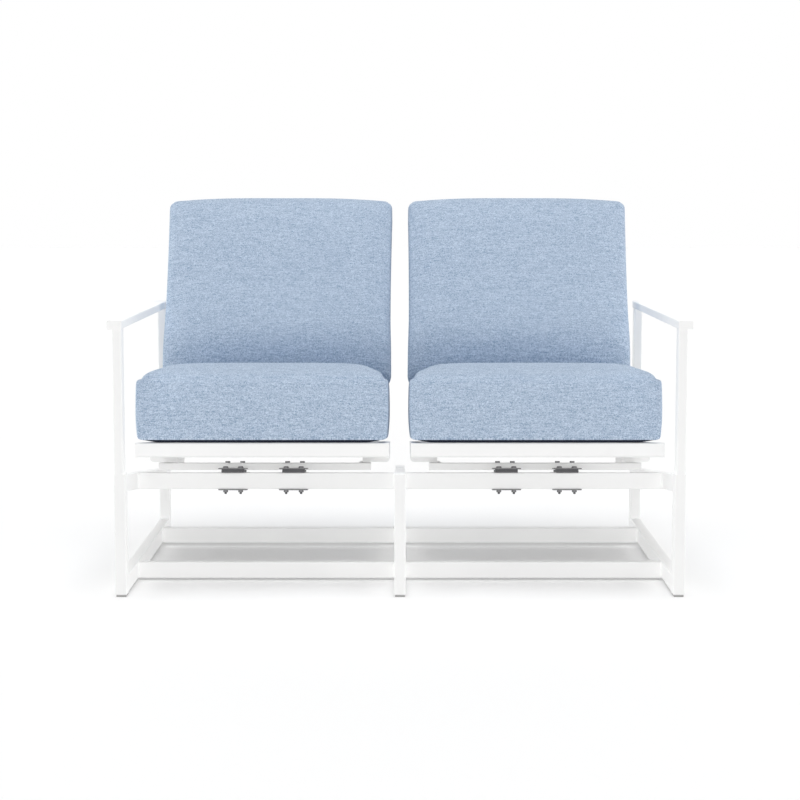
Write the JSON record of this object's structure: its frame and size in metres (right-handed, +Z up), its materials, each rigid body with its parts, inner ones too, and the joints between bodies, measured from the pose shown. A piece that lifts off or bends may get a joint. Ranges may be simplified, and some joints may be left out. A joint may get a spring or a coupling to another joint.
{
  "type": "rocker bench",
  "caption": "Outdoor loveseat with a painted tube base and flat arms; side-by-side cushioned seats rock independently on bolted leaf springs under their slatted frames.",
  "frame": {"origin": "centre of the bounding box on the floor", "axes": "+X to the bench's left-to-right as seen from the front, +Y to the back, +Z up"},
  "size_m": [1.2872, 0.9166, 0.8834],
  "materials": {
    "frame": "white powder coat",
    "cushion": "heathered light blue weave",
    "spring_steel": "dark coated spring steel",
    "hardware": "dark zinc plated steel",
    "glide": "grey moulded glide"
  },
  "bodies": {
    "base": {"centre_front_leg": "frame", "centre_rear_leg": "frame", "centre_runner": "frame", "centre_top_rail": "frame", "glides": "glide", "left_arm": "frame", "left_front_arm_post": "frame", "left_front_leg": "frame", "left_low_front_rail": "frame", "left_low_rear_rail": "frame", "left_rear_arm_post": "frame", "left_rear_leg": "frame", "left_runner": "frame", "left_spring_rail": "frame", "left_springs": "spring_steel", "left_top_rail": "frame", "right_arm": "frame", "right_front_arm_post": "frame", "right_front_leg": "frame", "right_low_front_rail": "frame", "right_low_rear_rail": "frame", "right_rear_arm_post": "frame", "right_rear_leg": "frame", "right_runner": "frame", "right_spring_rail": "frame", "right_springs": "spring_steel", "right_top_rail": "frame", "spring_clamps": "hardware"},
    "left_seat": {"left_back_cushion": "cushion", "left_back_inner_post": "frame", "left_back_outer_post": "frame", "left_back_slats": "frame", "left_back_top_rail": "frame", "left_carrier_arms": "frame", "left_carrier_bolts": "hardware", "left_carrier_pads": "hardware", "left_carrier_rail": "frame", "left_saddles": "frame", "left_seat_cushion": "cushion", "left_seat_front_rail": "frame", "left_seat_inner_rail": "frame", "left_seat_outer_rail": "frame", "left_seat_rear_rail": "frame", "left_seat_slats": "frame"},
    "right_seat": {"right_back_cushion": "cushion", "right_back_inner_post": "frame", "right_back_outer_post": "frame", "right_back_slats": "frame", "right_back_top_rail": "frame", "right_carrier_arms": "frame", "right_carrier_bolts": "hardware", "right_carrier_pads": "hardware", "right_carrier_rail": "frame", "right_saddles": "frame", "right_seat_cushion": "cushion", "right_seat_front_rail": "frame", "right_seat_inner_rail": "frame", "right_seat_outer_rail": "frame", "right_seat_rear_rail": "frame", "right_seat_slats": "frame"}
  },
  "joints": [
    {"name": "left_rock", "type": "hinge", "parent": "base", "child": "left_seat", "pos_m": [-0.314, -0.05852, 0.20819], "axis": [1, 0, 0], "range_deg": [-6, 5], "stiffness_Nm_per_rad": 1600, "springref_deg": 0.83, "deforming": ["left_springs"]},
    {"name": "right_rock", "type": "hinge", "parent": "base", "child": "right_seat", "pos_m": [0.314, -0.05852, 0.20819], "axis": [1, 0, 0], "range_deg": [-6, 5], "stiffness_Nm_per_rad": 1600, "springref_deg": 0.83, "deforming": ["right_springs"]}
  ]
}
